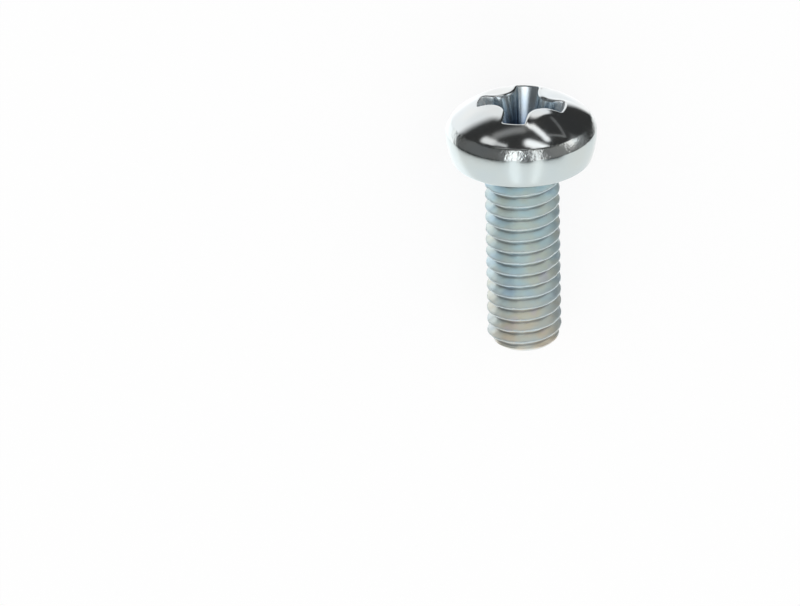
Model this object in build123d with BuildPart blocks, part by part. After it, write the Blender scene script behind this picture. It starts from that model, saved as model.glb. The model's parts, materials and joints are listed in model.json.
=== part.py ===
from build123d import *

import os
from math import asin, atan2, cos, degrees, hypot, radians, sin, sqrt, tan

# A machine screw with a raised, rounded head and a cross recess, forged and rolled in one piece.
# It lies on a surface as it comes to rest, on the side of its head and on the last crest of its
# thread. Lengths are in millimetres and angles in degrees. Heights are measured along the screw's
# axis from the bearing face under the head, and grow towards the top of the head.

# Shank
thread_diameter = 5.9  # over the crests of the thread
end_diameter = 4.7  # flat end face, as wide as the thread's root
shank_length = 16.0  # from the bearing face to the end face
end_chamfer_length = 0.6  # lead-in at the end of the thread
neck_radius = 0.25  # round between the shank and the bearing face

# Head
head_diameter = 11.9  # at its widest place
head_height = 5.35  # from the bearing face to the top of the dome
widest_height = 2.4  # height of the widest place
rim_height = 2.95  # height where the dome and the side would meet in a sharp edge
side_radius = 6.5  # bulge of the side
rim_radius = 1.1  # round between the side and the dome
bearing_edge_radius = 0.3  # round between the side and the bearing face

# Cross recess
recess_floor_height = 1.5  # level of the wings' floor
floor_span = 3.81  # across two opposite wings, at the floor
floor_wing_width = 1.15  # one wing, at the floor
floor_nose_radius = 0.9  # round of a quadrant between two wings, at the floor
nose_growth = 0.28  # of a quadrant's round, for each millimetre above the floor
wing_end_slope = 26.5  # of a wing's outer face, from the axis
wing_side_draft = 5.75  # of a wing's side face, from the axis
wing_corner_radius = 0.2  # between a wing's side and its outer face
cone_slope = 21.0  # of the cone in the middle of the floor
cone_ledge = 0.05  # flat left between the cone and the quadrants
lip_radius = 0.2  # round of the recess's mouth
recess_turn = 11.5  # of the wings about the axis, clockwise seen from above the head
quadrants = 4  # of the head, between the wings

thread_radius = thread_diameter / 2
head_radius = head_diameter / 2
end_radius = end_diameter / 2
side_centre_radius = head_radius - side_radius


def side_reach(height):
    """Radius of the head's side at a height: an arc centred level with the widest place."""
    return side_centre_radius + sqrt(side_radius**2 - (height - widest_height) ** 2)


# The screw rests along a line that touches the last full crest and the arc of the head's side.
last_crest_height = end_chamfer_length - shank_length
lift = side_centre_radius - thread_radius
run = widest_height - last_crest_height
rest_angle = degrees(atan2(lift, run) + asin(side_radius / hypot(lift, run)))
axis_direction = Vector(cos(radians(rest_angle)), 0, sin(radians(rest_angle)))
upper_side = Vector(-axis_direction.Z, 0, axis_direction.X)

# The dome is a cap whose top is on the axis. The screw reaches furthest forwards on that cap and
# furthest back at the upper edge of its end face, and its origin lies halfway between the two.
rim_reach = side_reach(rim_height)
dome_rise = head_height - rim_height
dome_radius = (rim_reach**2 + dome_rise**2) / (2 * dome_rise)
front_reach = (head_height - dome_radius) * axis_direction.X + dome_radius
back_reach = shank_length * axis_direction.X + end_radius * axis_direction.Z
bearing_level = thread_radius * axis_direction.X - last_crest_height * axis_direction.Z
bearing_centre = Vector((back_reach - front_reach) / 2, 0, bearing_level)

# The corners of the screw's outline that are rounded, as radius and height.
rim = (rim_reach, rim_height)
bearing_edge = (side_reach(0), 0)
neck = (thread_radius, 0)
rounds = [(rim, rim_radius), (bearing_edge, bearing_edge_radius), (neck, neck_radius)]

screw_axis = Axis(bearing_centre, axis_direction)
profile_plane = Plane(origin=bearing_centre, x_dir=upper_side, z_dir=(0, 1, 0))
cross_plane = Plane(origin=bearing_centre, x_dir=(0, -1, 0), z_dir=axis_direction)

# The recess is cut from its floor to a level that clears the top of the head.
mouth_level = head_height + lip_radius
core_radius = sqrt(2) * (floor_wing_width / 2 + floor_nose_radius) - floor_nose_radius
cone_radius = core_radius - cone_ledge
cone_tip_height = recess_floor_height - cone_radius * tan(radians(cone_slope))


def cross_outline(height):
    """Outline of the recess at a height: two crossed bars, with rounded quadrants between."""
    above_floor = height - recess_floor_height
    span = floor_span + 2 * above_floor * tan(radians(wing_end_slope))
    width = floor_wing_width + 2 * above_floor * tan(radians(wing_side_draft))
    with BuildSketch(cross_plane.offset(height)) as outline:
        with Locations(Rotation(0, 0, -recess_turn)):
            Rectangle(span, width)
            Rectangle(width, span)
        noses = outline.vertices().sort_by_distance((0, 0))[:quadrants]
        fillet(noses, floor_nose_radius + nose_growth * above_floor)
        wing_corners = outline.vertices().sort_by_distance((0, 0))[-2 * quadrants :]
        fillet(wing_corners, wing_corner_radius)
    return outline.sketch


with BuildPart() as machine_screw:
    # Head and shank, turned about the axis, with the rounds of the rim, the bearing face's edge
    # and the neck.
    with BuildSketch(profile_plane) as profile:
        with BuildLine():
            Polyline(
                bearing_edge,
                neck,
                (thread_radius, last_crest_height),
                (end_radius, -shank_length),
                (0, -shank_length),
                (0, head_height),
            )
            TangentArc((0, head_height), rim, tangent=(1, 0))
            ThreePointArc(rim, (head_radius, widest_height), bearing_edge)
        make_face()
        for corner, radius in rounds:
            fillet(profile.vertices().sort_by_distance(corner)[0], radius)
    revolve(axis=screw_axis)

    # Cross recess, with a round where its walls meet the dome and a cone in its floor.
    loft(
        [cross_outline(recess_floor_height), cross_outline(mouth_level)],
        ruled=True,
        mode=Mode.SUBTRACT,
    )
    walls = machine_screw.faces().filter_by(GeomType.BSPLINE)
    dome = machine_screw.faces().filter_by(GeomType.SPHERE)
    lip = dome.edges() & walls.edges()
    fillet(lip, lip_radius)
    with BuildSketch(profile_plane):
        with BuildLine():
            Polyline(
                (0, recess_floor_height),
                (cone_radius, recess_floor_height),
                (0, cone_tip_height),
                close=True,
            )
        make_face()
    revolve(axis=screw_axis, mode=Mode.SUBTRACT)

machine_screw.part.label = "machine_screw"
os.makedirs("parts", exist_ok=True)
export_step(machine_screw.part, "parts/machine_screw.step")
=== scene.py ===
"""Finish, camera and studio for a raised-head machine screw that lies on a pale floor."""

import json
import logging
import math
from collections.abc import Iterable
from dataclasses import dataclass, field
from enum import Enum

import bpy
from mathutils import Matrix, Vector, noise


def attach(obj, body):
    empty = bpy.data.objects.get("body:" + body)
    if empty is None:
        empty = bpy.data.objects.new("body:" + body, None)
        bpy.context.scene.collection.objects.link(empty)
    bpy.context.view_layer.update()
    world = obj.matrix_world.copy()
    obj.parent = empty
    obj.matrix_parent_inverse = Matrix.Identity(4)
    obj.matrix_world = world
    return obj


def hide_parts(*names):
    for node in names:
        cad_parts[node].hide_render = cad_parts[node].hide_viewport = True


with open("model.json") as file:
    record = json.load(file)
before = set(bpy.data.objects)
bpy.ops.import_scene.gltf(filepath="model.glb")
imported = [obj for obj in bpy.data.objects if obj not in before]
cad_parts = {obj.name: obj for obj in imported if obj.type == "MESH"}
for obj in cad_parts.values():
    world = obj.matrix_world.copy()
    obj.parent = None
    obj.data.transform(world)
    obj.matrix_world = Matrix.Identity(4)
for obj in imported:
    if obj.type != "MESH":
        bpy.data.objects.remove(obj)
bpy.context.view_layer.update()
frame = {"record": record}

LOG = logging.getLogger("machine_screw")

MM = 0.001
NODE = "machine_screw"
PAINTED_SHADE = "painted_shade"
ALONG = "along"
RUBBED = "rubbed"
LEVEL = "level"
COLUMNS = 192  # of the mesh, around the axis
QUADRANTS = 4  # of the head, between the wings
HALVINGS = 30  # when a height is searched for
HAIR = 0.01  # in millimetres
SLIVER = 1e-4  # in radians

Colour = tuple[float, float, float]
Ring = list[int]


class Zone(Enum):
    """The surfaces of the screw that carry a finish of their own, in slot order."""

    RECESS = 0
    DOME = 1
    RIM = 2
    SIDE = 3
    THREAD = 4
    END = 5


def smooth(value: float, low: float, high: float) -> float:
    """Ease from 0 at low to 1 at high.

    Args:
        value: The number to ease.
        low: Where the result leaves 0.
        high: Where the result reaches 1.

    Returns:
        The eased share, from 0 to 1.
    """
    share = min(1.0, max(0.0, (value - low) / (high - low)))
    return share * share * (3.0 - 2.0 * share)


def soft_min(first: float, second: float, blend: float) -> float:
    """Smaller of two numbers, with a rounded change between them.

    Args:
        first: One number.
        second: The other number.
        blend: How far apart the two are where the rounding begins.

    Returns:
        The rounded minimum.
    """
    share = max(blend - abs(first - second), 0.0) / blend
    return min(first, second) - share * share * blend / 4.0


def bend(start: Vector, corner: Vector, stop: Vector, steps: int) -> list[Vector]:
    """Round a corner with a parabola that leaves both of its sides smoothly.

    Args:
        start: Where the round begins, on the first side.
        corner: The sharp corner.
        stop: Where the round ends, on the second side.
        steps: Number of steps along the round.

    Returns:
        The points of the round, both ends included.
    """
    shares = [step / steps for step in range(steps + 1)]
    return [start.lerp(corner, share).lerp(corner.lerp(stop, share), share) for share in shares]


def arc(centre: Vector, radius: float, start: float, stop: float, steps: int) -> list[Vector]:
    """Points along an arc of the screw's outline.

    Args:
        centre: The arc's centre, as radius and height.
        radius: The arc's own radius.
        start: First angle in radians, 0 pointing away from the axis.
        stop: Last angle in radians.
        steps: Number of equal steps.

    Returns:
        The points of the arc, both ends included.
    """
    turns = [start + (stop - start) * step / steps for step in range(steps + 1)]
    return [centre + Vector((math.cos(turn), math.sin(turn))) * radius for turn in turns]


@dataclass(frozen=True)
class Pose:
    """Where the screw lies: the middle of its bearing face and its own three directions."""

    centre: Vector
    right: Vector
    back: Vector
    axis: Vector

    @classmethod
    def from_record(cls, record: dict) -> "Pose":
        """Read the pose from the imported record's mounts.

        Args:
            record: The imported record.

        Returns:
            The pose, with the axis pointing from the shank to the head.
        """
        mounts = {mount["name"]: mount for mount in record["mounts"]}
        axis = -Vector(mounts["thread"]["axis"]).normalized()
        middle = Vector(mounts["thread"]["pos_m"])
        reach = (Vector(mounts["bearing_face"]["pos_m"]) - middle).dot(axis)
        right = Vector((0.0, -1.0, 0.0))
        return cls(middle + axis * reach, right, axis.cross(right), axis)

    def matrix(self) -> Matrix:
        """Matrix from the screw's own frame to the floor's frame, both in metres."""
        turn = Matrix((self.right, self.back, self.axis)).transposed().to_4x4()
        return Matrix.Translation(self.centre) @ turn

    def direction(self, tilt: float, turn: float) -> Vector:
        """Direction given by two angles of the screw's own frame.

        Args:
            tilt: Degrees away from the axis, 0 pointing past the head.
            turn: Degrees about the axis, 0 on the upper side and 90 to the right.

        Returns:
            The direction in the floor's frame.
        """
        tilt, turn = math.radians(tilt), math.radians(turn)
        across = self.right * math.sin(turn) - self.back * math.cos(turn)
        return self.axis * math.cos(tilt) + across * math.sin(tilt)


class Skin:
    """Mesh under construction: points in millimetres in the screw's own frame, and zoned faces."""

    def __init__(self) -> None:
        """Start with no points and no faces."""
        self.points: list[Vector] = []
        self.painted_shades: list[float] = []
        self.rubs: list[float] = []
        self.faces: list[tuple[int, ...]] = []
        self.zones: list[Zone] = []

    def add(self, point: Vector, painted_shade: float = 0.0, rubbed: float = 0.0) -> int:
        """Add a point.

        Args:
            point: Its place.
            painted_shade: How deep it lies in a groove or in the recess, from 0 to 1, which sets how far
                painted shade darkens its colour.
            rubbed: How far tools and handling have rubbed it, from 0 to 1.

        Returns:
            The point's index.
        """
        self.points.append(point)
        self.painted_shades.append(painted_shade)
        self.rubs.append(rubbed)
        return len(self.points) - 1

    def ring(self, points: list[Vector], painted_shade: float = 0.0, rubs: list[float] | None = None) -> Ring:
        """Add a closed ring of points that lie equally deep.

        Args:
            points: The points, in order.
            painted_shade: How deep they lie, which sets how far painted shade darkens their colour.
            rubs: How far each of them is rubbed.

        Returns:
            The points' indices.
        """
        return [self.add(point, painted_shade, rub) for point, rub in zip(points, rubs or [0.0] * len(points))]

    def face(self, corners: Iterable[int], zone: Zone) -> None:
        """Add a face, and leave it out where too many of its corners fall together.

        Args:
            corners: Indices of the corners, in order.
            zone: The zone whose finish the face takes.
        """
        kept = tuple(dict.fromkeys(corners))
        if len(kept) > 2:
            self.faces.append(kept)
            self.zones.append(zone)

    def strip(self, inner: Ring, outer: Ring, zone: Zone) -> Ring:
        """Join two rings of equal length with faces.

        Args:
            inner: The ring nearer to the middle of the recess along the skin.
            outer: The ring after it.
            zone: The zone of the faces between them.

        Returns:
            The outer ring, from which the skin goes on.
        """
        for column, corner in enumerate(inner):
            after = (column + 1) % len(inner)
            self.face((corner, outer[column], outer[after], inner[after]), zone)
        return outer

    def mesh(self, name: str, pose: Pose) -> bpy.types.Mesh:
        """Make a smooth Blender mesh of the skin, in metres and in the floor's frame.

        Args:
            name: The mesh's name.
            pose: Where the screw lies.

        Returns:
            The mesh, with one material index for each zone.
        """
        matrix = pose.matrix()
        lowest = min(point.z for point in self.points)
        made = bpy.data.meshes.new(name)
        made.from_pydata([matrix @ (point * MM) for point in self.points], [], self.faces)
        made.polygons.foreach_set("material_index", [zone.value for zone in self.zones])
        made.polygons.foreach_set("use_smooth", [True] * len(self.faces))
        along = [min(1.0, max(0.0, point.z / lowest)) for point in self.points]
        # The painted shade attribute darkens each point's colour in the grooves and the recess.
        for label, values in ((PAINTED_SHADE, self.painted_shades), (RUBBED, self.rubs), (ALONG, along)):
            made.attributes.new(label, "FLOAT", "POINT").data.foreach_set("value", values)
        made.update()
        return made


@dataclass(frozen=True)
class HeadShape:
    """Sizes of the head's outside, in millimetres, with heights from the bearing face."""

    radius: float = 5.95
    height: float = 5.35
    widest_height: float = 2.4
    corner_height: float = 2.95
    side_radius: float = 6.5
    band_top_radius: float = 5.5
    band_bottom_height: float = 2.55
    band_bulge: float = 0.06
    band_edge: float = 0.06
    band_edge_share: float = 0.2
    bearing_edge_radius: float = 0.3
    band_steps: int = 8
    band_edge_steps: int = 3
    side_steps: int = 12
    bearing_edge_steps: int = 5

    def side_reach(self, height: float) -> float:
        """Radius of the bulged side at a height."""
        level = height - self.widest_height
        return self.radius - self.side_radius + math.sqrt(self.side_radius**2 - level**2)

    def dome_radius(self) -> float:
        """Radius of the sphere that the top of the head is a cap of.

        Returns:
            The radius.
        """
        reach = self.side_reach(self.corner_height)
        rise = self.height - self.corner_height
        return (reach**2 + rise**2) / (2.0 * rise)

    def dome(self, reach: float) -> float:
        """Height of the dome at a distance from the axis."""
        radius = self.dome_radius()
        return self.height - radius + math.sqrt(radius**2 - reach**2)

    def outline(self) -> list[Vector]:
        """Outline of the head from the dome's edge to the flat of the bearing face.

        Returns:
            The points of the outline, as radius and height.
        """
        top = Vector((self.band_top_radius, self.dome(self.band_top_radius)))
        bottom = Vector((self.side_reach(self.band_bottom_height), self.band_bottom_height))
        chord = bottom - top
        swell = (top + bottom) / 2 + Vector((-chord.y, chord.x)).normalized() * self.band_bulge
        inward = self.band_top_radius - self.band_edge
        above = Vector((inward, self.dome(inward)))
        below_height = self.band_bottom_height - self.band_edge
        below = Vector((self.side_reach(below_height), below_height))
        side_centre = Vector((self.radius - self.side_radius, self.widest_height))
        edge_radius = self.bearing_edge_radius
        centres_apart = self.side_radius - edge_radius
        highest = math.asin((below_height - self.widest_height) / self.side_radius)
        lowest = -math.asin((self.widest_height - edge_radius) / centres_apart)
        edge_centre = side_centre + Vector((math.cos(lowest), math.sin(lowest))) * centres_apart
        points = bend(above, top, top.lerp(swell, self.band_edge_share), self.band_edge_steps)
        points += bend(top, swell, bottom, self.band_steps)[1:-1]
        points += bend(bottom.lerp(swell, self.band_edge_share), bottom, below, self.band_edge_steps)
        points += arc(side_centre, self.side_radius, highest, lowest, self.side_steps)[1:]
        points += arc(edge_centre, edge_radius, lowest, -math.pi / 2, self.bearing_edge_steps)[1:]
        return points


@dataclass(frozen=True)
class CrossRecess:
    """The cross recess: four tapered wings around a cone, in millimetres and degrees."""

    floor_height: float = 1.5
    floor_span: float = 3.81
    floor_width: float = 1.15
    floor_nose_radius: float = 0.9
    floor_inset: float = 0.03
    end_slope: float = 26.5
    side_draft: float = 5.75
    corner_radius: float = 0.2
    cone_slope: float = 21.0
    cone_ledge: float = 0.05
    cone_shares: tuple[float, ...] = (0.25, 0.6, 1.0)
    wall_foot: float = 0.05
    wing_lip: float = 0.16
    # Share of painted shade left at the recess's mouth; it deepens to full on the cone and floor.
    mouth_painted_shade: float = 0.1
    turn: float = -11.5
    # One value for each quadrant: lower right, lower left, upper left and upper right.
    nose_growths: tuple[float, float, float, float] = (0.28, 0.28, 0.14, 0.12)
    nose_lips: tuple[float, float, float, float] = (0.32, 0.32, 0.32, 0.36)
    nose_sinks: tuple[float, float, float, float] = (0.34, 0.34, 0.08, 0.12)
    sink_reaches: tuple[float, float, float, float] = (1.9, 1.9, 1.3, 1.2)
    # The right and the left wing are rubbed by the driver, beyond these distances from the axis.
    rubbed_wings: tuple[int, int] = (0, 2)
    rub_start: float = 2.4
    rub_stop: float = 2.9
    # Steps and rows of the mesh.
    end_steps: int = 7
    corner_steps: int = 4
    side_steps: int = 5
    nose_steps: int = 8
    tip_steps: int = 2
    wall_rows: int = 10
    lip_rows: int = 9

    def half_station(self, quadrant: int, step: int, height: float) -> tuple[Vector, Vector]:
        """Point of the outline between the middle of a wing's end and the tip of a nose.

        Args:
            quadrant: The quadrant that the nose belongs to.
            step: Step along that stretch, 0 at the middle of the wing's end.
            height: Height of the outline.

        Returns:
            The point and the direction into the metal, for the wing that points along x.
        """
        rise = height - self.floor_height
        end = self.floor_span / 2 + rise * math.tan(math.radians(self.end_slope))
        side = self.floor_width / 2 + rise * math.tan(math.radians(self.side_draft))
        nose = self.floor_nose_radius + rise * self.nose_growths[quadrant]
        corner_side = side - self.corner_radius
        corner = Vector((end - corner_side**2 / (2.0 * end) - self.corner_radius, corner_side))
        if step <= self.end_steps:
            beside = corner_side * step / self.end_steps
            return Vector((end - beside**2 / (2.0 * end), beside)), Vector((1.0, 0.0))
        step -= self.end_steps
        if step <= self.corner_steps:
            turn = math.pi / 2 * step / self.corner_steps
            normal = Vector((math.cos(turn), math.sin(turn)))
            return corner + normal * self.corner_radius, normal
        step -= self.corner_steps
        if step <= self.side_steps:
            share = step / self.side_steps
            return Vector((corner.x, side)).lerp(Vector((side + nose, side)), share), Vector((0.0, 1.0))
        step -= self.side_steps
        turn = math.pi / 4 * step / self.nose_steps
        normal = Vector((math.sin(turn), math.cos(turn)))
        return Vector((side + nose, side + nose)) - normal * nose, normal

    def station(self, column: int, height: float) -> tuple[Vector, Vector]:
        """Point of the whole outline in a column of the mesh.

        Args:
            column: The column, 0 at the middle of the right wing's end.
            height: Height of the outline.

        Returns:
            The point and the direction into the metal, in the plane across the axis.
        """
        quadrant, step = divmod(column, COLUMNS // QUADRANTS)
        half = COLUMNS // QUADRANTS // 2
        point, normal = self.half_station(quadrant, min(step, 2 * half - step), height)
        if step > half:
            point, normal = point.yx, normal.yx
        turned = Matrix.Rotation(math.radians(self.turn) + quadrant * math.tau / QUADRANTS, 2)
        return turned @ point, turned @ normal

    def nose_share(self, column: int) -> tuple[int, float]:
        """Quadrant that a column belongs to, and how close it is to that quadrant's nose.

        Args:
            column: The column of the mesh.

        Returns:
            The quadrant and the share, 0 along the wings and 1 on the nose.
        """
        quadrant, step = divmod(column, COLUMNS // QUADRANTS)
        half = COLUMNS // QUADRANTS // 2
        along = half - abs(step - half)
        return quadrant, smooth(along, half - self.nose_steps - self.side_steps, half - self.tip_steps)

    def surface(self, column: int, point: Vector, start: Vector, head: HeadShape) -> Vector:
        """Point of the dome in one column, where the quadrants sink towards their noses.

        Args:
            column: The column of the mesh.
            point: The point in the plane across the axis.
            start: The recess's edge in this column.
            head: The head's outside.

        Returns:
            The point on the dome.
        """
        quadrant, share = self.nose_share(column)
        near = 1.0 - smooth((point - start).length, 0.0, self.sink_reaches[quadrant])
        return raised(point, head.dome(point.length) - self.nose_sinks[quadrant] * share * near)

    def mouth_height(self, column: int, head: HeadShape) -> float:
        """Height at which a column of the recess's wall meets the dome.

        Args:
            column: The column of the mesh.
            head: The head's outside.

        Returns:
            The height.
        """
        low, high = self.floor_height, head.height
        for _ in range(HALVINGS):
            middle = (low + high) / 2
            point = self.station(column, middle)[0]
            above = middle > self.surface(column, point, point, head).z
            low, high = (low, middle) if above else (middle, high)
        return low

    def lip_width(self, column: int) -> float:
        """Width of the rounded lip in a column, wider at the quadrants' noses."""
        quadrant, share = self.nose_share(column)
        return self.wing_lip + (self.nose_lips[quadrant] - self.wing_lip) * share

    def rubs(self, points: list[Vector]) -> list[float]:
        """How far the driver has rubbed a ring of the recess, towards two of the wings' tips.

        Args:
            points: The ring's points, one in each column of the mesh.

        Returns:
            The rub at each point, from 0 to 1.
        """
        per_wing = COLUMNS // QUADRANTS
        rubs = []
        for column, point in enumerate(points):
            wing = round(column / per_wing) % QUADRANTS
            share = smooth(point.xy.length, self.rub_start, self.rub_stop)
            rubs.append(share if wing in self.rubbed_wings else 0.0)
        return rubs

    def build(self, skin: Skin, head: HeadShape) -> tuple[Ring, list[Vector]]:
        """Add the recess to the skin, from the tip of its cone to the edge of its lip.

        Args:
            skin: The skin to add to.
            head: The head's outside.

        Returns:
            The ring where the lip runs out into the dome, and the recess's sharp edge.
        """
        columns = range(COLUMNS)
        floor = [self.station(column, self.floor_height) for column in columns]
        core = min(point.length for point, _ in floor) - self.cone_ledge
        tip_height = self.floor_height - core * math.tan(math.radians(self.cone_slope))
        # The cone and the floor take full painted shade, which thins towards the mouth and over the lip.
        ring = [skin.add(Vector((0.0, 0.0, tip_height)), 1.0)] * COLUMNS
        for share in self.cone_shares:
            height = tip_height + (self.floor_height - tip_height) * share
            cone = [raised(point.normalized() * core * share, height) for point, _ in floor]
            ring = skin.strip(ring, skin.ring(cone, 1.0), Zone.RECESS)
        inset = [raised(point - normal * self.floor_inset, self.floor_height) for point, normal in floor]
        ring = skin.strip(ring, skin.ring(inset, 1.0), Zone.RECESS)
        mouths = [self.mouth_height(column, head) for column in columns]
        lips = [self.lip_width(column) for column in columns]
        first = self.floor_height + self.wall_foot
        for row in range(self.wall_rows + 1):
            share = row / self.wall_rows
            heights = [first + (mouth - lip - first) * share for mouth, lip in zip(mouths, lips)]
            points = [raised(self.station(*place)[0], place[1]) for place in zip(columns, heights)]
            painted_shade = 1.0 - (1.0 - self.mouth_painted_shade) * share
            ring = skin.strip(ring, skin.ring(points, painted_shade, self.rubs(points)), Zone.RECESS)
        rounds = [self.lip_round(*place, head) for place in zip(columns, mouths, lips)]
        for row in range(1, self.lip_rows + 1):
            points = [line[row] for line in rounds]
            inside = row <= self.lip_rows // 2
            zone = Zone.RECESS if inside else Zone.DOME
            painted_shade = self.mouth_painted_shade * (1.0 - row / self.lip_rows)
            ring = skin.strip(ring, skin.ring(points, painted_shade, self.rubs(points) if inside else None), zone)
        return ring, [self.station(column, mouth)[0] for column, mouth in zip(columns, mouths)]

    def lip_round(self, column: int, mouth: float, lip: float, head: HeadShape) -> list[Vector]:
        """Points over the rounded lip in one column.

        Args:
            column: The column of the mesh.
            mouth: Height where the wall would meet the dome.
            lip: Width of the lip on either side of that.
            head: The head's outside.

        Returns:
            The points from the wall to the dome.
        """
        below = raised(self.station(column, mouth - lip)[0], mouth - lip)
        point, normal = self.station(column, mouth)
        beyond = self.surface(column, point + normal * lip, point, head)
        return bend(below, raised(point, mouth), beyond, self.lip_rows)


def raised(point: Vector, height: float) -> Vector:
    """Lift a point of the plane across the axis to a height."""
    return Vector((point.x, point.y, height))


@dataclass(frozen=True)
class Thread:
    """The rolled thread and the neck above it, in millimetres."""

    crest_radius: float = 2.95
    root_radius: float = 2.387
    neck_radius: float = 2.62
    neck_round: float = 0.25
    pitch: float = 1.0
    length: float = 16.0
    first_crest: float = 0.05
    crest_flat: float = 0.125
    flank_slope: float = 1.732
    run_in: float = 1.1
    end_radius: float = 2.35
    end_chamfer: float = 0.6
    end_edge: float = 0.05
    crest_round: float = 0.06
    root_round: float = 0.14
    wear: float = 0.07
    wear_scale: float = 1.6
    wear_reach: float = 0.2
    wander: float = 0.04
    wander_scale: float = 1.3
    # Shares of the pitch over which painted shade darkens the root, under each crest.
    shaded_root: tuple[float, float] = (0.34, 0.49)
    rubbed_crest: tuple[float, float] = (0.14, 0.04)
    stops: tuple[float, ...] = (0.0, 0.035, 0.065, 0.11, 0.2, 0.3, 0.37, 0.43)

    def levels(self) -> list[float]:
        """Heights of the mesh's rows within one pitch, as shares of it below a crest."""
        down = list(self.stops) + [0.5]
        return down + [1.0 - stop for stop in reversed(self.stops[1:])]

    def depth(self, share: float) -> float:
        """Depth of the thread's profile, with its rounded crest and root.

        Args:
            share: Distance from the nearest crest, as a share of the pitch.

        Returns:
            The depth below the crest.
        """
        flank = (share - self.crest_flat / 2) * self.flank_slope * self.pitch
        crest = -soft_min(0.0, -flank, self.crest_round)
        return soft_min(crest, self.crest_radius - self.root_radius, self.root_round)

    def share(self, height: float, turn: float, place: Vector) -> float:
        """Distance from the nearest crest, as a share of the pitch.

        Args:
            height: Height from the bearing face.
            turn: Turns about the axis, 0 on the upper side.
            place: Seeds the small wander of the rolled helix.

        Returns:
            The share, 0 on a crest and 0.5 in a root.
        """
        drift = self.wander * noise.noise(place * self.wander_scale)
        phase = (height + drift - self.first_crest) / self.pitch - turn
        return abs(phase - round(phase))

    def radius(self, height: float, turn: float, place: Vector) -> float:
        """Distance of the thread's surface from the axis.

        Args:
            height: Height from the bearing face.
            turn: Turns about the axis, 0 on the upper side.
            place: Seeds the wear of the crests.

        Returns:
            The distance.
        """
        share = self.share(height, turn, place)
        depth = self.depth(share)
        worn = self.wear * max(0.0, noise.noise(place * self.wear_scale))
        threaded = self.crest_radius - depth - worn * smooth(-share, -self.wear_reach, 0.0)
        rolled = smooth(-height, self.neck_round, self.run_in)
        widening = (self.crest_radius - self.end_radius) / self.end_chamfer
        cone = self.end_radius + (height + self.length) * widening
        return soft_min(self.neck_radius + (threaded - self.neck_radius) * rolled, cone, self.crest_round)

    def build(self, skin: Skin, ring: Ring, start_turn: float) -> Ring:
        """Add the thread to the skin, its rows running along the helix.

        Args:
            skin: The skin to add to.
            ring: The last ring of the neck.
            start_turn: Turns about the axis of the first column, 0 on the upper side.

        Returns:
            The ring at the lower end of the thread.
        """
        levels = self.levels()
        top = -self.neck_round
        bottom = self.end_edge - self.length
        count = math.ceil((2.0 - bottom / self.pitch) * len(levels)) + len(levels)
        columns = []
        last = []
        for column, upper in enumerate(ring):
            turn = start_turn + column / len(ring)
            last.append(self.place(skin, bottom, turn))
            line = []
            for row in range(count):
                whole, part = divmod(row, len(levels))
                height = self.first_crest + self.pitch * (turn + 1 - whole - levels[part])
                if height > top - HAIR:
                    line.append(upper)
                elif height < bottom + HAIR:
                    line.append(last[-1])
                else:
                    line.append(self.place(skin, height, turn))
            columns.append(line)
        columns.append([columns[0][0]] * len(levels) + columns[0][: -len(levels)])
        for near, far in zip(columns, columns[1:]):
            for row in range(count - 1):
                skin.face((near[row], near[row + 1], far[row + 1], far[row]), Zone.THREAD)
        return last

    def place(self, skin: Skin, height: float, turn: float) -> int:
        """Add one point of the thread to the skin.

        Args:
            skin: The skin to add to.
            height: Height from the bearing face.
            turn: Turns about the axis, 0 on the upper side.

        Returns:
            The point's index.
        """
        angle = turn * math.tau
        way = Vector((math.sin(angle), -math.cos(angle)))
        place = raised(way * self.crest_radius, height)
        radius = self.radius(height, turn, place)
        share = self.share(height, turn, place)
        # Painted shade along the roots, which fades out towards the neck.
        painted_shade = smooth(share, *self.shaded_root) * smooth(-height, self.neck_round, self.run_in)
        outer, inner = self.rubbed_crest
        return skin.add(raised(way * radius, height), painted_shade, smooth(-share, -outer, -inner))


@dataclass(frozen=True)
class ShankEnd:
    """The flat end of the shank with its shallow dish, in millimetres."""

    height: float = -16.0
    radii: tuple[float, ...] = (2.33, 2.24, 2.0, 1.7, 1.5, 1.2, 0.8, 0.4)
    dish_radius: float = 1.7
    dish_slope: float = 0.9
    dish_depth: float = 0.12

    def build(self, skin: Skin, ring: Ring, ways: list[Vector]) -> None:
        """Close the skin at the end of the shank.

        Args:
            skin: The skin to add to.
            ring: The last ring of the thread.
            ways: Direction of each column across the axis.
        """
        for radius in self.radii:
            sink = self.dish_depth * smooth(self.dish_radius - radius, 0.0, self.dish_slope)
            points = [raised(way * radius, self.height + sink) for way in ways]
            ring = skin.strip(ring, skin.ring(points), Zone.END)
        tip = skin.add(Vector((0.0, 0.0, self.height + self.dish_depth)))
        skin.strip(ring, [tip] * COLUMNS, Zone.END)


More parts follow.
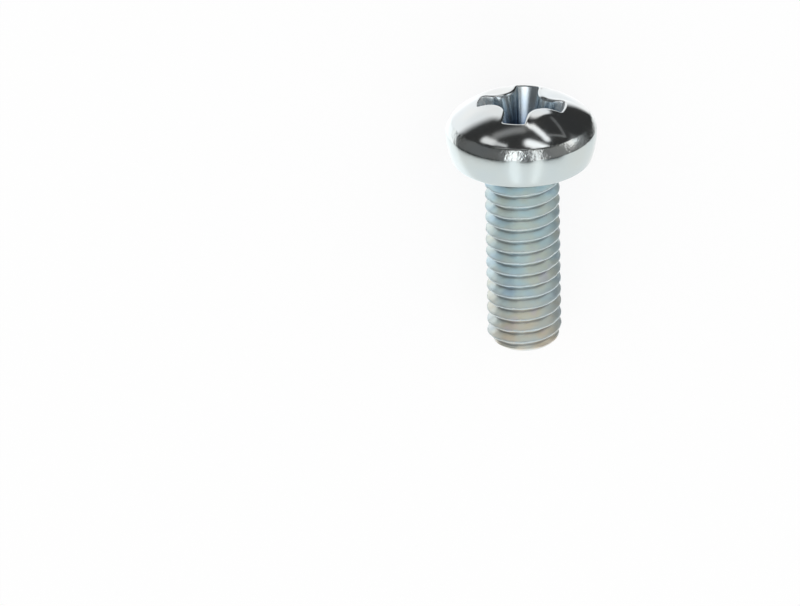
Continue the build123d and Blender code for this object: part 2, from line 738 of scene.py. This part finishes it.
@dataclass(frozen=True)
class ScrewHead:
    """The head around the recess, from the lip of the recess to the neck."""

    shape: HeadShape = field(default_factory=HeadShape)
    recess: CrossRecess = field(default_factory=CrossRecess)
    dome_rows: int = 20
    dome_crowding: float = 1.4
    face_rows: int = 5
    neck_steps: int = 4
    rim_grain: float = 0.012
    rim_grain_scale: float = 3.1
    rim_rub: float = 0.22

    def ways(self) -> list[Vector]:
        """Direction of each column across the axis."""
        turns = [math.radians(self.recess.turn) + math.tau * column / COLUMNS for column in range(COLUMNS)]
        return [Vector((math.cos(turn), math.sin(turn))) for turn in turns]

    def build(self, skin: Skin, thread: Thread) -> Ring:
        """Add the head to the skin.

        Args:
            skin: The skin to add to.
            thread: The thread, whose neck the bearing face runs into.

        Returns:
            The last ring of the neck.
        """
        ways = self.ways()
        ring, edge = self.recess.build(skin, self.shape)
        outline = self.shape.outline()
        starts = [skin.points[corner].xy for corner in ring]
        for row in range(1, self.dome_rows + 1):
            share = (row / self.dome_rows) ** self.dome_crowding
            points = []
            for column, way in enumerate(ways):
                point = starts[column].lerp(way * outline[0].x, share)
                points.append(self.recess.surface(column, point, edge[column], self.shape))
            ring = skin.strip(ring, skin.ring(points), Zone.DOME)
        for corner in outline[1:]:
            banded = corner.y > self.shape.band_bottom_height - HAIR
            points = []
            for way in ways:
                point = raised(way * corner.x, corner.y)
                grain = noise.noise(point * self.rim_grain_scale) * self.rim_grain if banded else 0.0
                points.append(raised(way * (corner.x + grain), corner.y))
            rubs = [self.rim_rub if banded else 0.0] * COLUMNS
            ring = skin.strip(ring, skin.ring(points, rubs=rubs), Zone.RIM if banded else Zone.SIDE)
        neck_edge = thread.neck_radius + thread.neck_round
        for row in range(1, self.face_rows + 1):
            radius = outline[-1].x + (neck_edge - outline[-1].x) * row / self.face_rows
            ring = skin.strip(ring, skin.ring([raised(way * radius, 0.0) for way in ways]), Zone.SIDE)
        middle = Vector((neck_edge, -thread.neck_round))
        for corner in arc(middle, thread.neck_round, math.pi / 2, math.pi, self.neck_steps)[1:]:
            points = [raised(way * corner.x, corner.y) for way in ways]
            ring = skin.strip(ring, skin.ring(points), Zone.THREAD)
        return ring


def new_group(
    name: str, inputs: dict[str, tuple[str, object]], outputs: dict[str, str]
) -> bpy.types.NodeTree:
    """Make an empty shader node group with named sockets.

    Args:
        name: The group's name.
        inputs: For each input, its socket type and its default.
        outputs: For each output, its socket type.

    Returns:
        The group, with its input and output nodes in place.
    """
    group = bpy.data.node_groups.new(name, "ShaderNodeTree")
    for label, (kind, value) in inputs.items():
        group.interface.new_socket(label, in_out="INPUT", socket_type=kind).default_value = value
    for label, kind in outputs.items():
        group.interface.new_socket(label, in_out="OUTPUT", socket_type=kind)
    group.nodes.new("NodeGroupInput")
    group.nodes.new("NodeGroupOutput")
    return group


def feed(tree: bpy.types.NodeTree, socket: bpy.types.NodeSocket, value: object) -> None:
    """Give an input a value of its own, or link another node's output to it.

    Args:
        tree: The tree that holds the nodes.
        socket: The input.
        value: The value or the output.
    """
    if isinstance(value, bpy.types.NodeSocket):
        tree.links.new(value, socket)
    else:
        socket.default_value = value


def put(
    tree: bpy.types.NodeTree, kind: str, settings: dict[str, object] | None = None, **inputs: object
) -> bpy.types.bpy_prop_collection:
    """Add a node to a tree.

    Args:
        tree: The tree to add to.
        kind: The node's type.
        settings: Properties of the node itself.
        **inputs: What feeds its inputs, with underscores for spaces.

    Returns:
        The node's outputs.
    """
    node = tree.nodes.new(kind)
    for name, value in (settings or {}).items():
        setattr(node, name, value)
    for name, value in inputs.items():
        feed(tree, node.inputs[name.replace("_", " ")], value)
    return node.outputs


def reckon(
    tree: bpy.types.NodeTree, operation: str, *terms: object, clamp: bool = False
) -> bpy.types.NodeSocket:
    """Add a sum to a tree.

    Args:
        tree: The tree to add to.
        operation: What is done with the terms.
        *terms: The terms, each a number or another node's output.
        clamp: Whether the result is kept between 0 and 1.

    Returns:
        The result.
    """
    node = tree.nodes.new("ShaderNodeMath")
    node.operation = operation
    node.use_clamp = clamp
    for socket, term in zip(node.inputs, terms):
        feed(tree, socket, term)
    return node.outputs["Value"]


def ramp(
    tree: bpy.types.NodeTree, stops: list[tuple[float, Colour]], place: bpy.types.NodeSocket
) -> bpy.types.NodeSocket:
    """Add a colour ramp with the given stops.

    Args:
        tree: The tree to add to.
        stops: Place and colour of each stop, in order.
        place: The output that picks the place on the ramp.

    Returns:
        The colour.
    """
    node = tree.nodes.new("ShaderNodeValToRGB")
    elements = node.color_ramp.elements
    while len(elements) < len(stops):
        elements.new(0.5)
    for element, (position, colour) in zip(elements, stops):
        element.position = position
        element.color = (*colour, 1.0)
    tree.links.new(place, node.inputs["Fac"])
    return node.outputs["Color"]


def clouds(
    tree: bpy.types.NodeTree, scale: object, detail: float, roughness: float
) -> bpy.types.NodeSocket:
    """Add soft noise that is fixed to the piece.

    Args:
        tree: The tree to add to.
        scale: Clouds for each metre, or the output that gives it.
        detail: How many finer layers lie on them.
        roughness: How strong the finer layers are.

    Returns:
        The noise, from 0 to 1.
    """
    place = put(tree, "ShaderNodeTexCoord")["Object"]
    made = put(
        tree, "ShaderNodeTexNoise", Vector=place, Scale=scale, Detail=detail, Roughness=roughness
    )
    return made["Fac"]


def film_group() -> bpy.types.NodeTree:
    """Make the group that tints the plating with the thin colours of its passivated film.

    Returns:
        The group.
    """
    group = new_group(
        "passivated_film",
        {
            "Base": ("NodeSocketColor", (1.0, 1.0, 1.0, 1.0)),
            "Strength": ("NodeSocketFloat", 0.5),
            "Scale": ("NodeSocketFloat", 400.0),
        },
        {"Color": "NodeSocketColor"},
    )
    source = group.nodes["Group Input"].outputs
    tints = ramp(
        group,
        [
            (0.30, (0.72, 0.90, 1.10)),
            (0.44, (0.92, 1.02, 1.04)),
            (0.55, (1.06, 1.00, 0.90)),
            (0.64, (1.12, 0.98, 0.78)),
            (0.74, (1.06, 0.86, 0.98)),
        ],
        clouds(group, source["Scale"], detail=2.0, roughness=0.45),
    )
    tinted = put(
        group,
        "ShaderNodeMix",
        {"data_type": "RGBA", "blend_type": "MULTIPLY"},
        Factor=source["Strength"],
        A=source["Base"],
        B=tints,
    )
    feed(group, group.nodes["Group Output"].inputs["Color"], tinted["Result"])
    return group


def grain_group() -> bpy.types.NodeTree:
    """Make the group that gives the height and the roughness of the plating's grain and pits.

    Returns:
        The group.
    """
    group = new_group(
        "plating_grain",
        {
            "Scale": ("NodeSocketFloat", 6000.0),
            "Pits": ("NodeSocketFloat", 0.3),
            "Roughness": ("NodeSocketFloat", 0.2),
            "Spread": ("NodeSocketFloat", 0.1),
        },
        {"Height": "NodeSocketFloat", "Roughness": "NodeSocketFloat"},
    )
    source = group.nodes["Group Input"].outputs
    place = put(group, "ShaderNodeTexCoord")["Object"]
    fine = clouds(group, source["Scale"], detail=3.0, roughness=0.6)
    pits = put(group, "ShaderNodeTexVoronoi", {"feature": "F1"}, Vector=place, Scale=source["Scale"])
    edge = put(
        group,
        "ShaderNodeMapRange",
        Value=pits["Distance"],
        From_Min=0.05,
        From_Max=0.35,
        To_Min=-1.0,
        To_Max=0.0,
    )
    broad = clouds(group, 900.0, detail=4.0, roughness=0.6)
    height = reckon(group, "MULTIPLY_ADD", edge["Result"], source["Pits"], fine)
    centred = reckon(group, "SUBTRACT", broad, 0.5)
    rough = reckon(
        group, "MULTIPLY_ADD", centred, source["Spread"], source["Roughness"], clamp=True
    )
    target = group.nodes["Group Output"].inputs
    feed(group, target["Height"], height)
    feed(group, target["Roughness"], rough)
    return group


def rubbed_group() -> bpy.types.NodeTree:
    """Make the group that breaks the rubbed places up into specks.

    Returns:
        The group.
    """
    group = new_group(
        "rubbed_specks",
        {"Amount": ("NodeSocketFloat", 0.0), "Scale": ("NodeSocketFloat", 7000.0)},
        {"Mask": "NodeSocketFloat"},
    )
    source = group.nodes["Group Input"].outputs
    spread = put(
        group,
        "ShaderNodeMapRange",
        Value=clouds(group, source["Scale"], detail=3.0, roughness=0.7),
        From_Min=0.35,
        From_Max=0.6,
        To_Min=0.15,
        To_Max=1.0,
    )
    mask = reckon(group, "MULTIPLY", spread["Result"], source["Amount"], clamp=True)
    feed(group, group.nodes["Group Output"].inputs["Mask"], mask)
    return group


WHITE: Colour = (1.0, 1.0, 1.0)
WARM: Colour = (1.12, 0.95, 0.86)
WARM_FROM = 0.55


@dataclass(frozen=True)
class Plating:
    """Zinc plating on one zone of the screw: its colours, film, grain and gloss, and the colour of the
    painted shade where it lies deep.
    """

    name: str
    base: Colour
    # Colour of the painted shade, reached where the zone lies deepest in a groove or the recess.
    painted_shade: Colour
    film: float
    film_scale: float
    roughness: float
    spread: float
    grain_scale: float
    grain_depth: float
    pits: float
    warm_end: float = 0.0
    metallic: float = 1.0
    rubbed: Colour = (0.80, 0.84, 0.84)
    rubbed_roughness: float = 0.3

    def material(
        self, film: bpy.types.NodeTree, grain: bpy.types.NodeTree, specks: bpy.types.NodeTree
    ) -> bpy.types.Material:
        """Make the zone's material.

        Args:
            film: The group with the colours of the film.
            grain: The group with the grain.
            specks: The group with the rubbed specks.

        Returns:
            The material.
        """
        made = bpy.data.materials.new(self.name)
        made.use_nodes = True
        tree = made.node_tree
        deep, along, handled = (
            put(tree, "ShaderNodeAttribute", {"attribute_name": label})["Fac"]
            for label in (PAINTED_SHADE, ALONG, RUBBED)
        )
        # The base colour darkens towards the painted shade colour where the point lies deep.
        warmed = put(
            tree,
            "ShaderNodeMix",
            {"data_type": "RGBA", "blend_type": "MULTIPLY"},
            Factor=self.warm_end,
            A=ramp(tree, [(0.0, self.base), (1.0, self.painted_shade)], deep),
            B=ramp(tree, [(0.0, WHITE), (WARM_FROM, WHITE), (1.0, WARM)], along),
        )
        tinted = put(
            tree,
            "ShaderNodeGroup",
            {"node_tree": film},
            Base=warmed["Result"],
            Strength=self.film,
            Scale=self.film_scale,
        )
        marks = put(tree, "ShaderNodeGroup", {"node_tree": specks}, Amount=handled)["Mask"]
        coloured = put(
            tree,
            "ShaderNodeMix",
            {"data_type": "RGBA"},
            Factor=marks,
            A=tinted["Color"],
            B=(*self.rubbed, 1.0),
        )
        texture = put(
            tree,
            "ShaderNodeGroup",
            {"node_tree": grain},
            Scale=self.grain_scale,
            Pits=self.pits,
            Roughness=self.roughness,
            Spread=self.spread,
        )
        dulled = reckon(
            tree, "MULTIPLY_ADD", marks, self.rubbed_roughness, texture["Roughness"], clamp=True
        )
        bump = put(tree, "ShaderNodeBump", Distance=self.grain_depth * MM, Height=texture["Height"])
        metal = tree.nodes["Principled BSDF"].inputs
        feed(tree, metal["Base Color"], coloured["Result"])
        feed(tree, metal["Metallic"], self.metallic)
        feed(tree, metal["Roughness"], dulled)
        feed(tree, metal["Normal"], bump["Normal"])
        return made


PLATINGS: dict[Zone, Plating] = {
    Zone.RECESS: Plating(
        name="zinc_recess",
        base=(0.78, 0.87, 0.92),
        # Dark navy painted shade deep in the recess.
        painted_shade=(0.13, 0.18, 0.27),
        film=0.2,
        film_scale=700.0,
        roughness=0.20,
        spread=0.05,
        grain_scale=900.0,
        grain_depth=0.0003,
        pits=0.0,
        rubbed=(0.95, 0.97, 0.97),
    ),
    Zone.DOME: Plating(
        name="zinc_dome",
        base=(0.72, 0.75, 0.76),
        painted_shade=(0.66, 0.72, 0.75),
        film=0.12,
        film_scale=300.0,
        roughness=0.10,
        spread=0.08,
        grain_scale=3500.0,
        grain_depth=0.0010,
        pits=0.3,
    ),
    Zone.RIM: Plating(
        name="zinc_rim",
        base=(0.70, 0.74, 0.74),
        painted_shade=(0.66, 0.70, 0.71),
        film=0.15,
        film_scale=500.0,
        roughness=0.14,
        spread=0.2,
        grain_scale=3200.0,
        grain_depth=0.020,
        pits=0.3,
    ),
    Zone.SIDE: Plating(
        name="zinc_side",
        base=(0.60, 0.66, 0.66),
        painted_shade=(0.60, 0.66, 0.66),
        film=0.12,
        film_scale=300.0,
        roughness=0.22,
        spread=0.12,
        grain_scale=3000.0,
        grain_depth=0.004,
        pits=0.4,
    ),
    Zone.THREAD: Plating(
        name="zinc_thread",
        base=(0.70, 0.81, 0.83),
        # Dark painted shade along the roots of the thread.
        painted_shade=(0.26, 0.31, 0.33),
        film=0.5,
        film_scale=450.0,
        roughness=0.42,
        spread=0.2,
        grain_scale=3000.0,
        grain_depth=0.006,
        pits=0.4,
        warm_end=1.0,
        metallic=0.72,
        rubbed=(0.68, 0.77, 0.79),
    ),
    Zone.END: Plating(
        name="zinc_end",
        base=(0.70, 0.75, 0.75),
        painted_shade=(0.68, 0.72, 0.72),
        film=0.3,
        film_scale=500.0,
        roughness=0.45,
        spread=0.2,
        grain_scale=1600.0,
        grain_depth=0.012,
        pits=0.5,
        warm_end=0.35,
        metallic=0.6,
    ),
}


@dataclass(frozen=True)
class MachineScrew:
    """The whole screw: one forged and rolled piece that stands for the solid node."""

    head: ScrewHead = field(default_factory=ScrewHead)
    thread: Thread = field(default_factory=Thread)
    end: ShankEnd = field(default_factory=ShankEnd)

    def build(self, pose: Pose) -> bpy.types.Object:
        """Build and dress the screw.

        Args:
            pose: Where the screw lies.

        Returns:
            The finished piece.
        """
        skin = Skin()
        neck = self.head.build(skin, self.thread)
        start_turn = (self.head.recess.turn + 90.0) / 360.0
        last = self.thread.build(skin, neck, start_turn)
        self.end.build(skin, last, self.head.ways())
        piece = bpy.data.objects.new("plated_screw", skin.mesh("plated_screw", pose))
        bpy.context.scene.collection.objects.link(piece)
        self.dress(piece)
        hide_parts(NODE)
        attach(piece, "root")
        return piece

    def dress(self, piece: bpy.types.Object) -> None:
        """Give each zone of the piece its plating.

        Args:
            piece: The piece, whose faces carry their zones.
        """
        groups = film_group(), grain_group(), rubbed_group()
        for zone in Zone:
            piece.data.materials.append(PLATINGS[zone].material(*groups))


@dataclass(frozen=True)
class Sector:
    """Part of the light tent between two tilts and two turns about the screw's axis."""

    tilts: tuple[float, float]
    turns: tuple[float, float]
    level: float
    soft: float = 3.0

    def cover(self, direction: Vector, pose: Pose) -> float:
        """How far the sector covers a direction.

        Args:
            direction: The direction, in the floor's frame.
            pose: Where the screw lies.

        Returns:
            The cover, from 0 to 1.
        """
        tilt = math.degrees(math.acos(max(-1.0, min(1.0, direction.dot(pose.axis)))))
        turn = math.degrees(math.atan2(direction.dot(pose.right), -direction.dot(pose.back)))
        middle = sum(self.turns) / 2
        aside = abs((turn - middle + 180.0) % 360.0 - 180.0) * math.sin(math.radians(tilt))
        width = (self.turns[1] - self.turns[0]) / 2
        reach = width * math.sin(math.radians(tilt)) - aside if width < 180.0 else self.soft
        inside = min(tilt - self.tilts[0], self.tilts[1] - tilt, reach)
        return smooth(inside, -self.soft / 2, self.soft / 2)


@dataclass(frozen=True)
class Strip:
    """Soft-edged strip on the light tent between two places, each a tilt and a turn."""

    start: tuple[float, float]
    stop: tuple[float, float]
    width: float
    level: float
    soft: float = 3.0

    def cover(self, direction: Vector, pose: Pose) -> float:
        """How far the strip covers a direction.

        Args:
            direction: The direction, in the floor's frame.
            pose: Where the screw lies.

        Returns:
            The cover, from 0 to 1.
        """
        first, last = pose.direction(*self.start), pose.direction(*self.stop)
        side = first.cross(last).normalized()
        aside = direction.dot(side)
        nearest = (direction - side * aside).normalized()
        if first.angle(nearest) + last.angle(nearest) < first.angle(last) + SLIVER:
            away = abs(math.asin(aside))
        else:
            away = min(direction.angle(first), direction.angle(last))
        return smooth(self.width / 2 - math.degrees(away), -self.soft / 2, self.soft / 2)


@dataclass(frozen=True)
class Studio:
    """Camera, floor and light tent, with lengths in metres and angles in degrees."""

    view_tilt: float = 62.5
    view_lean: float = 1.4
    view_distance: float = 0.6
    view_width: float = 0.0629
    aside: float = -0.00957
    below: float = -0.01148
    sensor: float = 36.0
    nearest: float = 0.01
    farthest: float = 10.0
    floor_reach: float = 0.6
    floor_colour: Colour = (0.96, 0.96, 0.96)
    floor_roughness: float = 0.9
    floor_glow: float = 0.85
    tent_radius: float = 0.3
    tent_ahead: float = 0.003
    tent_columns: int = 360
    tent_rows: int = 180

    def camera(self, pose: Pose) -> None:
        """Place the camera that looks down on the screw.

        Args:
            pose: Where the screw lies.
        """
        away = pose.direction(self.view_tilt, 0.0)
        level_up = (pose.axis - away * pose.axis.dot(away)).normalized()
        lean = math.radians(self.view_lean)
        right = pose.right * math.cos(lean) - level_up * math.sin(lean)
        up = away.cross(right)
        aim = pose.centre + right * self.aside + up * self.below
        data = bpy.data.cameras.new("camera")
        data.sensor_width = self.sensor
        data.lens = self.sensor * self.view_distance / self.view_width
        data.clip_start = self.nearest
        data.clip_end = self.farthest
        camera = bpy.data.objects.new("camera", data)
        turn = Matrix((right, up, away)).transposed().to_4x4()
        camera.matrix_world = Matrix.Translation(aim + away * self.view_distance) @ turn
        bpy.context.scene.collection.objects.link(camera)
        bpy.context.scene.camera = camera

    def floor(self) -> None:
        """Lay the white floor, which keeps a soft shadow."""
        reach = self.floor_reach
        corners = [(-reach, -reach, 0.0), (reach, -reach, 0.0), (reach, reach, 0.0), (-reach, reach, 0.0)]
        mesh = bpy.data.meshes.new("floor")
        mesh.from_pydata(corners, [], [(0, 1, 2, 3)])
        floor = bpy.data.objects.new("floor", mesh)
        bpy.context.scene.collection.objects.link(floor)
        floor.visible_glossy = False
        made = bpy.data.materials.new("white_sheet")
        made.use_nodes = True
        tree = made.node_tree
        sheet = tree.nodes["Principled BSDF"]
        feed(tree, sheet.inputs["Base Color"], (*self.floor_colour, 1.0))
        feed(tree, sheet.inputs["Roughness"], self.floor_roughness)
        glow = put(tree, "ShaderNodeEmission", Strength=1.0)["Emission"]
        seen = put(tree, "ShaderNodeLightPath")["Is Camera Ray"]
        mixed = tree.nodes.new("ShaderNodeMixShader")
        terms = (reckon(tree, "MULTIPLY", seen, self.floor_glow), sheet.outputs["BSDF"], glow)
        for socket, term in zip(mixed.inputs, terms):
            feed(tree, socket, term)
        feed(tree, tree.nodes["Material Output"].inputs["Surface"], mixed.outputs["Shader"])
        mesh.materials.append(made)

    def world(self) -> None:
        """Set a plain white surround and the plain view of it."""
        world = bpy.data.worlds.new("studio")
        world.use_nodes = True
        background = world.node_tree.nodes["Background"]
        background.inputs["Color"].default_value = (*WHITE, 1.0)
        background.inputs["Strength"].default_value = 1.0
        bpy.context.scene.world = world
        bpy.context.scene.view_settings.view_transform = "Standard"

    def tent(self, pose: Pose, coverings: list[Sector | Strip]) -> None:
        """Hang the light tent, which only reflections see.

        Args:
            pose: Where the screw lies.
            coverings: What hangs in the tent, each over the ones before it.
        """
        centre = pose.centre + pose.axis * self.tent_ahead
        points, levels = [], []
        for row in range(self.tent_rows + 1):
            for column in range(self.tent_columns):
                way = pose.direction(180.0 * row / self.tent_rows, 360.0 * column / self.tent_columns)
                level = 1.0
                for covering in coverings:
                    level += (covering.level - level) * covering.cover(way, pose)
                points.append(centre + way * self.tent_radius)
                levels.append(level)
        faces = []
        for row in range(self.tent_rows):
            for column in range(self.tent_columns):
                after = (column + 1) % self.tent_columns
                upper, lower = row * self.tent_columns, (row + 1) * self.tent_columns
                faces.append((upper + column, lower + column, lower + after, upper + after))
        mesh = bpy.data.meshes.new("light_tent")
        mesh.from_pydata(points, [], faces)
        mesh.attributes.new(LEVEL, "FLOAT", "POINT").data.foreach_set("value", levels)
        made = bpy.data.materials.new("tent_cloth")
        made.use_nodes = True
        tree = made.node_tree
        tree.nodes.remove(tree.nodes["Principled BSDF"])
        level = put(tree, "ShaderNodeAttribute", {"attribute_name": LEVEL})["Fac"]
        glow = put(tree, "ShaderNodeEmission", Strength=level)["Emission"]
        feed(tree, tree.nodes["Material Output"].inputs["Surface"], glow)
        made.cycles.emission_sampling = "NONE"
        mesh.materials.append(made)
        tent = bpy.data.objects.new("light_tent", mesh)
        tent.visible_camera = False
        tent.visible_diffuse = False
        tent.visible_shadow = False
        tent.visible_transmission = False
        tent.visible_volume_scatter = False
        bpy.context.scene.collection.objects.link(tent)


DARK = 0.04

# Angles are in degrees, the bare cloth's level is 1, and each covering ends in its soft edge.
TENT: list[Sector | Strip] = [
    # The back and the left of the tent are a little brighter.
    Sector((60.0, 150.0), (155.0, 235.0), 1.12, 16.0),
    Sector((88.0, 150.0), (190.0, 245.0), 1.35, 14.0),
    # Dark cloth over the upper side, the right side and the head's end.
    Sector((14.0, 115.0), (-114.0, 62.0), DARK, 9.0),
    Sector((12.0, 97.0), (58.0, 157.0), DARK, 6.0),
    Strip((62.0, -88.0), (60.0, 88.0), 68.0, DARK, 13.0),
    # Bright windows in it.
    Strip((23.0, -102.0), (7.0, 175.0), 8.0, 0.26, 7.0),
    Strip((17.0, 166.0), (23.5, 88.0), 6.0, 1.2, 2.5),
    Strip((34.0, -100.0), (27.0, -85.0), 7.0, 0.95, 4.0),
    Strip((27.0, -85.0), (19.0, -55.0), 3.0, 0.8, 3.0),
    Strip((12.0, 36.0), (26.0, 60.0), 9.0, 1.3, 5.0),
    Strip((39.0, 142.0), (40.5, 107.0), 1.8, 0.22, 1.5),
    Strip((23.5, 100.0), (40.5, 107.0), 1.8, 0.25, 1.5),
    Strip((30.0, -60.0), (28.0, 20.0), 5.0, 0.5),
    Sector((48.0, 86.0), (-104.0, -34.0), 0.14, 10.0),
    Sector((48.0, 86.0), (40.0, 112.0), 0.22, 10.0),
    Sector((50.0, 72.0), (77.0, 100.0), 1.15, 6.0),
    Sector((42.0, 150.0), (-22.0, -4.0), 1.35),
    Sector((48.0, 70.0), (-22.0, -4.0), 1.75, 6.0),
    Sector((42.0, 150.0), (16.0, 31.0), 1.3),
]


def main() -> None:
    """Build the studio and the screw, and report each piece."""
    logging.basicConfig(level=logging.INFO, format="%(name)s: %(message)s")
    pose = Pose.from_record(frame["record"])
    studio = Studio()
    studio.camera(pose)
    studio.floor()
    studio.world()
    studio.tent(pose, TENT)
    piece = MachineScrew().build(pose)
    LOG.info("%s: %d faces", piece.name, len(piece.data.polygons))


if __name__ == "__main__":
    main()
